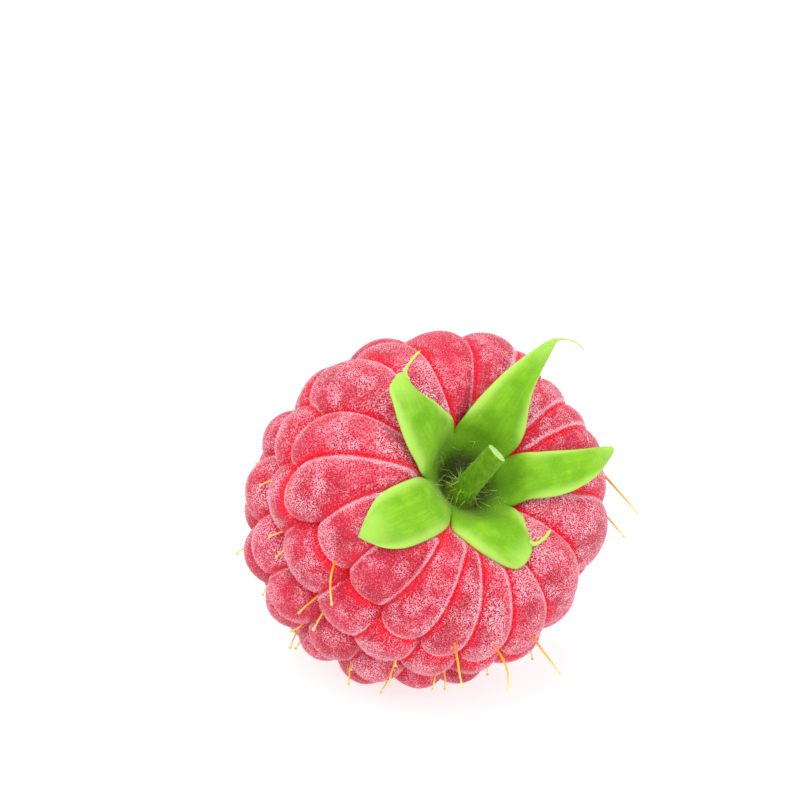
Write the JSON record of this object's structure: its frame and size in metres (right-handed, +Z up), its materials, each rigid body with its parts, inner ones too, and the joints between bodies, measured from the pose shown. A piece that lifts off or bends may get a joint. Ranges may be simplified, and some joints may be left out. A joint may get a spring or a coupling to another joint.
{
  "type": "raspberry",
  "caption": "Ripe red raspberry, an edible soft fruit, lying on its side as picked: packed drupelets with dried styles, a green calyx of pointed sepals and a short cut stem.",
  "frame": {"origin": "the centre of the bottom of the bounding box, on the surface the raspberry lies on", "axes": "+Z is up from the surface. The stem end looks towards -Y, turned 31.9 degrees towards +X and raised 38.8 degrees above the surface."},
  "size_m": [0.025, 0.025, 0.0238],
  "materials": {
    "drupelet_skin": null,
    "calyx_green": null,
    "stem_green": null
  },
  "bodies": {
    "root": {"drupelets": "drupelet_skin", "calyx": "calyx_green", "stem": "stem_green"}
  },
  "joints": []
}
